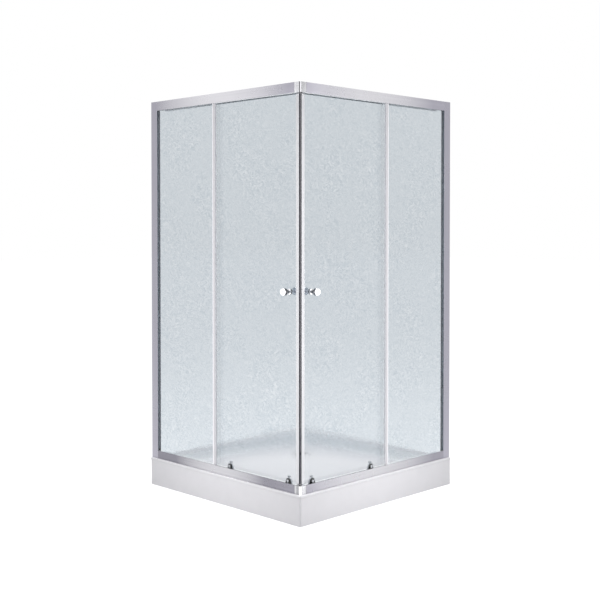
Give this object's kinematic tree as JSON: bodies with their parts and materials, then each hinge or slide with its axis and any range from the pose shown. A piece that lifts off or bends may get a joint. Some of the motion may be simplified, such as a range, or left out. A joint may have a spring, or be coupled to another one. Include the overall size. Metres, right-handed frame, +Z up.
{
  "type": "corner shower enclosure",
  "caption": "Square corner-entry shower enclosure: low tray, aluminium frame, fixed and sliding panels of textured glass on rollers, meeting at a magnetic corner.",
  "frame": {"origin": "on the floor under the middle of the tray", "axes": "+Z up; the doors meet at the front corner, +X -Y; the walls stand at -X and +Y"},
  "size_m": [1.003, 1.003, 1.79],
  "materials": {
    "tray_acrylic": "gloss white pressed acrylic",
    "frame_aluminium": "satin anodised",
    "profile_aluminium": "matte anodised",
    "bright_trim": "bright plated moulding",
    "chrome": "polished",
    "textured_glass": "pebbled on one face",
    "gasket_rubber": "matte",
    "clear_seal": "soft translucent",
    "white_profile": "white",
    "magnet_strip": "dark flexible magnet",
    "white_washer": "white",
    "zinc_steel": "zinc plated",
    "foot_plastic": "black",
    "waste_plastic": "white",
    "stop_rubber": "matte",
    "roller_plastic": "grey",
    "release_plastic": "dark grey",
    "wheel_nylon": "white nylon"
  },
  "bodies": {
    "enclosure": {"bottom_corner_connector": "bright_trim", "drain_body": "waste_plastic", "drain_trap": "waste_plastic", "foot_locknuts": "zinc_steel", "frame_screws": "zinc_steel", "left_bottom_rail": "frame_aluminium", "left_end_profile": "profile_aluminium", "left_end_seal": "clear_seal", "left_fixed_glass": "textured_glass", "left_glass_gaskets": "gasket_rubber", "left_side_post": "frame_aluminium", "left_top_rail": "frame_aluminium", "left_wall_channel": "frame_aluminium", "rail_brackets": "zinc_steel", "right_bottom_rail": "frame_aluminium", "right_end_profile": "profile_aluminium", "right_end_seal": "clear_seal", "right_fixed_glass": "textured_glass", "right_glass_gaskets": "gasket_rubber", "right_side_post": "frame_aluminium", "right_top_rail": "frame_aluminium", "right_wall_channel": "frame_aluminium", "top_corner_connector": "bright_trim", "track_stops": "stop_rubber", "tray_bars": "zinc_steel", "tray_feet": "foot_plastic", "tray_shell": "tray_acrylic"},
    "left_door": {"left_door_glass": "textured_glass", "left_lead_profile": "white_profile", "left_door_magnet": "magnet_strip", "left_rear_seal": "clear_seal", "left_knob_outer": "chrome", "left_knob_inner": "chrome", "left_knob_stud": "zinc_steel", "left_knob_washers": "white_washer", "left_hanger_bolts": "zinc_steel", "left_roller_bodies": "roller_plastic"},
    "left_top_front_wheel": {"left_top_front_wheel": "wheel_nylon"},
    "left_front_release": {"left_front_release": "release_plastic"},
    "left_bottom_front_wheel": {"left_bottom_front_wheel": "wheel_nylon"},
    "left_top_rear_wheel": {"left_top_rear_wheel": "wheel_nylon"},
    "left_rear_release": {"left_rear_release": "release_plastic"},
    "left_bottom_rear_wheel": {"left_bottom_rear_wheel": "wheel_nylon"},
    "right_door": {"right_door_glass": "textured_glass", "right_lead_profile": "white_profile", "right_door_magnet": "magnet_strip", "right_rear_seal": "clear_seal", "right_knob_outer": "chrome", "right_knob_inner": "chrome", "right_knob_stud": "zinc_steel", "right_knob_washers": "white_washer", "right_hanger_bolts": "zinc_steel", "right_roller_bodies": "roller_plastic"},
    "right_top_front_wheel": {"right_top_front_wheel": "wheel_nylon"},
    "right_front_release": {"right_front_release": "release_plastic"},
    "right_bottom_front_wheel": {"right_bottom_front_wheel": "wheel_nylon"},
    "right_top_rear_wheel": {"right_top_rear_wheel": "wheel_nylon"},
    "right_rear_release": {"right_rear_release": "release_plastic"},
    "right_bottom_rear_wheel": {"right_bottom_rear_wheel": "wheel_nylon"},
    "drain_cover": {"drain_cover": "chrome"}
  },
  "joints": [
    {"name": "left_door_slide", "type": "slide", "parent": "enclosure", "child": "left_door", "axis": [-1, 0, 0], "range_m": [0, 0.4]},
    {"name": "left_top_front_wheel_spin", "type": "hinge", "parent": "left_door", "child": "left_top_front_wheel", "pos_m": [0.39, -0.4488, 1.7688], "axis": [0, 1, 0], "range_deg": [-2566, 2566]},
    {"name": "left_front_release_press", "type": "slide", "parent": "left_door", "child": "left_front_release", "axis": [0, 0, -1], "range_m": [0, 0.0035], "stiffness_N_per_m": 600, "springref_m": -0.003},
    {"name": "left_bottom_front_wheel_spin", "type": "hinge", "parent": "left_front_release", "child": "left_bottom_front_wheel", "pos_m": [0.39, -0.4488, 0.1397], "axis": [0, 1, 0], "range_deg": [-4187, 4187]},
    {"name": "left_top_rear_wheel_spin", "type": "hinge", "parent": "left_door", "child": "left_top_rear_wheel", "pos_m": [0.025, -0.4488, 1.7688], "axis": [0, 1, 0], "range_deg": [-2566, 2566]},
    {"name": "left_rear_release_press", "type": "slide", "parent": "left_door", "child": "left_rear_release", "axis": [0, 0, -1], "range_m": [0, 0.0035], "stiffness_N_per_m": 600, "springref_m": -0.003},
    {"name": "left_bottom_rear_wheel_spin", "type": "hinge", "parent": "left_rear_release", "child": "left_bottom_rear_wheel", "pos_m": [0.025, -0.4488, 0.1397], "axis": [0, 1, 0], "range_deg": [-4187, 4187]},
    {"name": "right_door_slide", "type": "slide", "parent": "enclosure", "child": "right_door", "axis": [0, 1, 0], "range_m": [0, 0.4]},
    {"name": "right_top_front_wheel_spin", "type": "hinge", "parent": "right_door", "child": "right_top_front_wheel", "pos_m": [0.4488, -0.39, 1.7688], "axis": [-1, 0, 0], "range_deg": [-2566, 2566]},
    {"name": "right_front_release_press", "type": "slide", "parent": "right_door", "child": "right_front_release", "axis": [0, 0, -1], "range_m": [0, 0.0035], "stiffness_N_per_m": 600, "springref_m": -0.003},
    {"name": "right_bottom_front_wheel_spin", "type": "hinge", "parent": "right_front_release", "child": "right_bottom_front_wheel", "pos_m": [0.4488, -0.39, 0.1397], "axis": [-1, 0, 0], "range_deg": [-4187, 4187]},
    {"name": "right_top_rear_wheel_spin", "type": "hinge", "parent": "right_door", "child": "right_top_rear_wheel", "pos_m": [0.4488, -0.025, 1.7688], "axis": [-1, 0, 0], "range_deg": [-2566, 2566]},
    {"name": "right_rear_release_press", "type": "slide", "parent": "right_door", "child": "right_rear_release", "axis": [0, 0, -1], "range_m": [0, 0.0035], "stiffness_N_per_m": 600, "springref_m": -0.003},
    {"name": "right_bottom_rear_wheel_spin", "type": "hinge", "parent": "right_rear_release", "child": "right_bottom_rear_wheel", "pos_m": [0.4488, -0.025, 0.1397], "axis": [-1, 0, 0], "range_deg": [-4187, 4187]},
    {"name": "drain_cover_lift", "type": "slide", "parent": "enclosure", "child": "drain_cover", "axis": [0, 0, 1], "range_m": [0, 0.06]}
  ],
  "couplings": [
    {"joint": "left_top_front_wheel_spin", "follows": "left_door_slide", "rad_per_m": -111.11},
    {"joint": "left_bottom_front_wheel_spin", "follows": "left_door_slide", "rad_per_m": 181.82},
    {"joint": "left_top_rear_wheel_spin", "follows": "left_door_slide", "rad_per_m": -111.11},
    {"joint": "left_bottom_rear_wheel_spin", "follows": "left_door_slide", "rad_per_m": 181.82},
    {"joint": "right_top_front_wheel_spin", "follows": "right_door_slide", "rad_per_m": 111.11},
    {"joint": "right_bottom_front_wheel_spin", "follows": "right_door_slide", "rad_per_m": -181.82},
    {"joint": "right_top_rear_wheel_spin", "follows": "right_door_slide", "rad_per_m": 111.11},
    {"joint": "right_bottom_rear_wheel_spin", "follows": "right_door_slide", "rad_per_m": -181.82}
  ]
}
